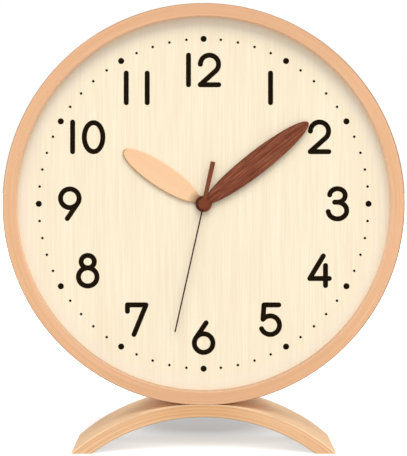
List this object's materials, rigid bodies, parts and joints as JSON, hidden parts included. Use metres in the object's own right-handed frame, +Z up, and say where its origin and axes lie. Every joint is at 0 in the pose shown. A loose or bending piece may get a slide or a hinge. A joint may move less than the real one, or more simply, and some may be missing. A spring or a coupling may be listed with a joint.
{
  "type": "table clock",
  "caption": "Round table clock with a bentwood ring case on a bentwood arch base, pale wooden dial, leaf-shaped wooden hands and a battery quartz movement with gear train.",
  "frame": {"origin": "on the floor, under the middle of the clock's box", "axes": "+X to the right of someone who reads the dial, +Y from the dial to the back, +Z up"},
  "size_m": [0.2, 0.04, 0.2241],
  "materials": {
    "frame_wood": "clear matt lacquer over pale beech",
    "dial_wood": "pale straight-grained veneer, satin",
    "backer_board": "raw fibreboard",
    "light_hand_wood": "sanded light wood",
    "dark_hand_wood": "oiled dark wood with fine lengthwise grain",
    "dark_hand_metal": "satin red-brown paint",
    "bush_brass": "turned",
    "screw_steel": "zinc plated",
    "case_plastic": "fine moulded texture",
    "wheel_plastic": "moulded acetal",
    "core_steel": "stamped",
    "copper_wire": "enamelled wire",
    "magnet_ferrite": "ground",
    "board_resin": "solder mask",
    "chip_resin": "potting resin",
    "crystal_can": "drawn can",
    "contact_nickel": "nickel plated",
    "battery_jacket": "plain printed sleeve"
  },
  "bodies": {
    "clock_case": {"frame_ring": "frame_wood", "retaining_hoop": "frame_wood", "dial_veneer": "dial_wood", "dial_backer": "backer_board", "base_arch": "frame_wood", "base_screws": "screw_steel", "case_front": "case_plastic", "case_rear": "case_plastic", "dial_screws": "screw_steel", "train_bridge": "wheel_plastic", "motor_stator": "core_steel", "coil_core": "core_steel", "coil_bobbin": "wheel_plastic", "coil_winding": "copper_wire", "circuit_board": "board_resin", "driver_chip": "chip_resin", "quartz_crystal": "crystal_can", "battery_contact_positive": "contact_nickel", "battery_contact_negative": "contact_nickel"},
    "minute_train": {"minute_hand": "dark_hand_wood", "minute_hand_bush": "bush_brass", "cannon_pinion": "wheel_plastic", "clutch_washer": "bush_brass"},
    "hour_train": {"hour_hand": "light_hand_wood", "hour_hand_bush": "bush_brass", "hour_wheel": "wheel_plastic"},
    "setting_train": {"set_knob": "case_plastic", "minute_wheel": "wheel_plastic"},
    "second_train": {"second_hand": "dark_hand_metal", "second_hand_cap": "dark_hand_metal", "second_wheel": "wheel_plastic"},
    "third_train": {"third_wheel": "wheel_plastic"},
    "centre_train": {"centre_wheel": "wheel_plastic"},
    "intermediate_train": {"intermediate_wheel": "wheel_plastic"},
    "rotor_train": {"rotor_magnet": "magnet_ferrite", "rotor_pinion": "wheel_plastic"},
    "battery_cell": {"battery": "battery_jacket"}
  },
  "joints": [
    {"name": "minute_hand_turn", "type": "hinge", "parent": "clock_case", "child": "minute_train", "pos_m": [0, 0, 0.12407], "axis": [0, 1, 0], "continuous": true},
    {"name": "hour_hand_turn", "type": "hinge", "parent": "clock_case", "child": "hour_train", "pos_m": [0, 0, 0.12407], "axis": [0, 1, 0], "continuous": true},
    {"name": "set_knob_turn", "type": "hinge", "parent": "clock_case", "child": "setting_train", "pos_m": [-0.00955, 0, 0.12407], "axis": [0, 1, 0], "continuous": true},
    {"name": "second_hand_turn", "type": "hinge", "parent": "clock_case", "child": "second_train", "pos_m": [0, 0, 0.12407], "axis": [0, 1, 0], "continuous": true},
    {"name": "intermediate_turn", "type": "hinge", "parent": "clock_case", "child": "intermediate_train", "pos_m": [0.00846, 0, 0.12715], "axis": [0, 1, 0], "continuous": true},
    {"name": "rotor_turn", "type": "hinge", "parent": "clock_case", "child": "rotor_train", "pos_m": [0.01341, 0, 0.1321], "axis": [0, 1, 0], "continuous": true},
    {"name": "third_turn", "type": "hinge", "parent": "clock_case", "child": "third_train", "pos_m": [0, 0, 0.13307], "axis": [0, 1, 0], "continuous": true},
    {"name": "centre_turn", "type": "hinge", "parent": "clock_case", "child": "centre_train", "pos_m": [0, 0, 0.12407], "axis": [0, 1, 0], "continuous": true},
    {"name": "battery_slide", "type": "slide", "parent": "clock_case", "child": "battery_cell", "axis": [0, 1, 0], "range_m": [0, 0.03]}
  ],
  "couplings": [
    {"joint": "hour_hand_turn", "follows": "minute_hand_turn", "ratio": 0.083333},
    {"joint": "set_knob_turn", "follows": "minute_hand_turn", "ratio": -0.33333},
    {"joint": "intermediate_turn", "follows": "second_hand_turn", "ratio": -5},
    {"joint": "rotor_turn", "follows": "second_hand_turn", "ratio": 30},
    {"joint": "third_turn", "follows": "second_hand_turn", "ratio": -0.125},
    {"joint": "centre_turn", "follows": "second_hand_turn", "ratio": 0.016667}
  ]
}
